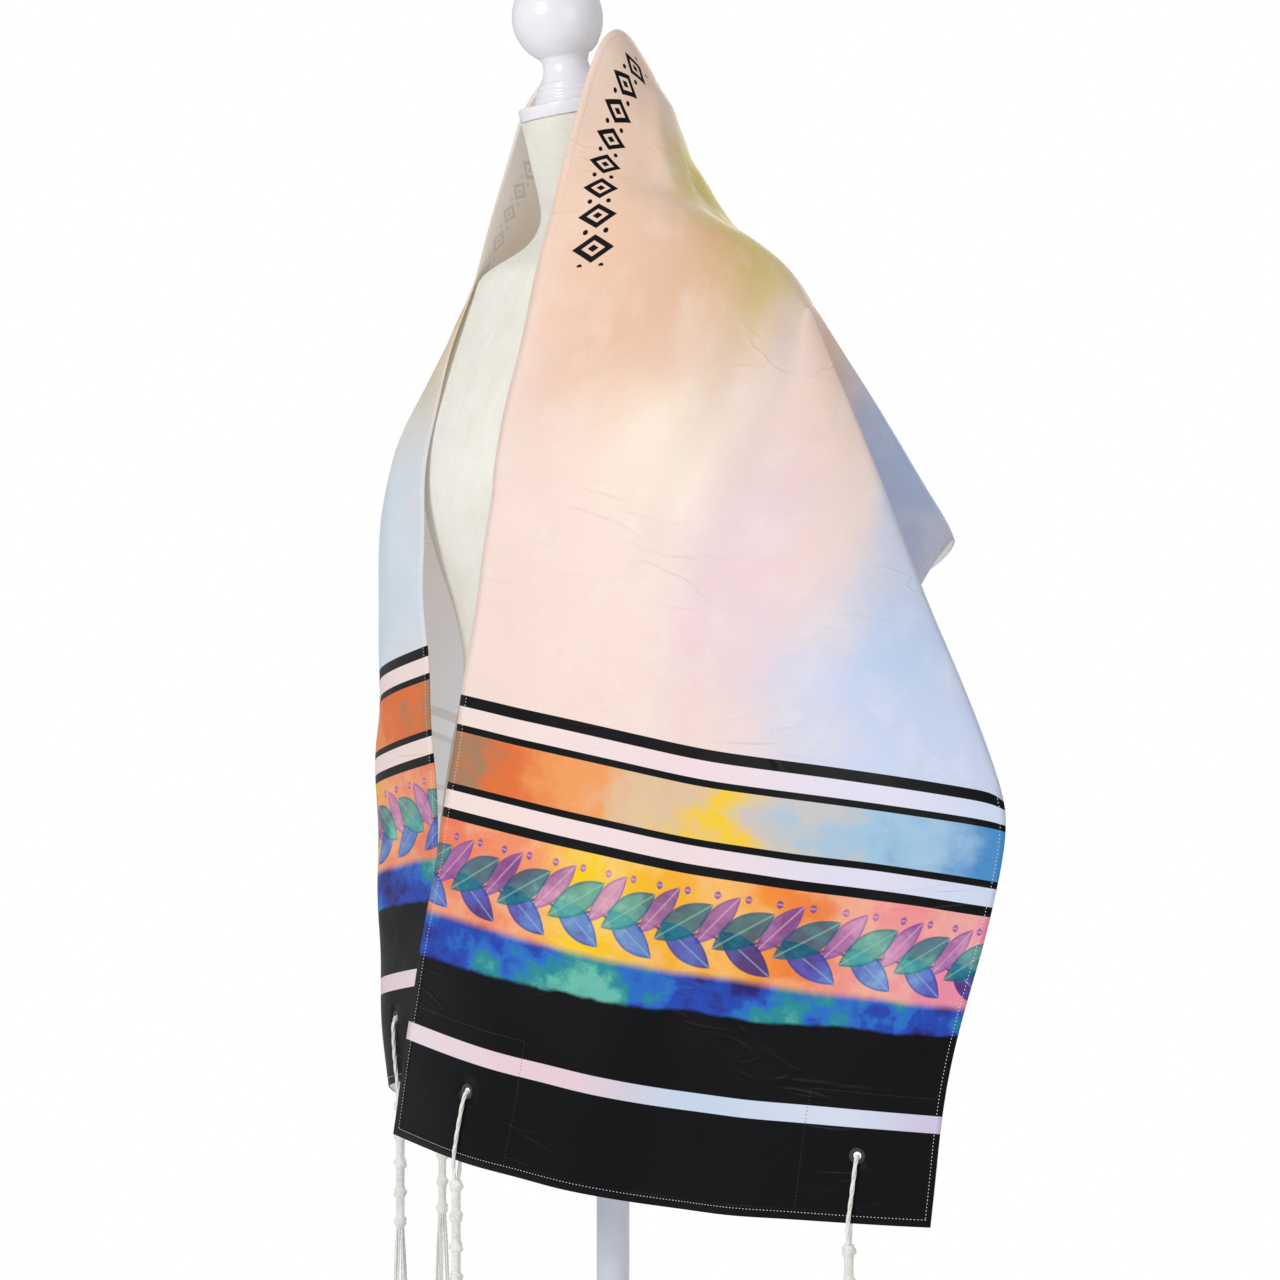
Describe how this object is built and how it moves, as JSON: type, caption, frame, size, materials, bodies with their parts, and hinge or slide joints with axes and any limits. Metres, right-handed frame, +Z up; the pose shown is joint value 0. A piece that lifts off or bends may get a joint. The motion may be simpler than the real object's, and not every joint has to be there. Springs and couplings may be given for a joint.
{
  "type": "tallit prayer shawl on a dress form stand",
  "caption": "Long satin prayer shawl with corner tassels, draped over a limbless dress form on a pole stand.",
  "frame": {"origin": "on the floor at the centre of the stand's base, under the pole", "axes": "+Z up, -Y the way the dress form faces, +X the dress form's own left side"},
  "size_m": [0.776, 0.3456, 1.5167],
  "materials": {
    "satin": "satin",
    "satin_reverse": "satin",
    "tassel_cord": "matt cotton",
    "jersey": "matt knit with a slight sparkle",
    "neck_cap": "gloss white",
    "stand_metal": "satin white paint"
  },
  "bodies": {
    "root": {"shawl": "satin", "patch_near_front": "satin_reverse", "patch_near_side": "satin_reverse", "patch_far_front": "satin_reverse", "patch_far_side": "satin_reverse", "tzitzit_near_front": "tassel_cord", "tzitzit_near_side": "tassel_cord", "tzitzit_far_front": "tassel_cord", "tzitzit_far_side": "tassel_cord", "form_torso": "jersey", "form_neck_plate": "neck_cap", "form_finial": "neck_cap", "form_under_plate": "stand_metal", "stand_pole": "stand_metal", "stand_socket": "stand_metal", "stand_base": "stand_metal"}
  },
  "joints": []
}
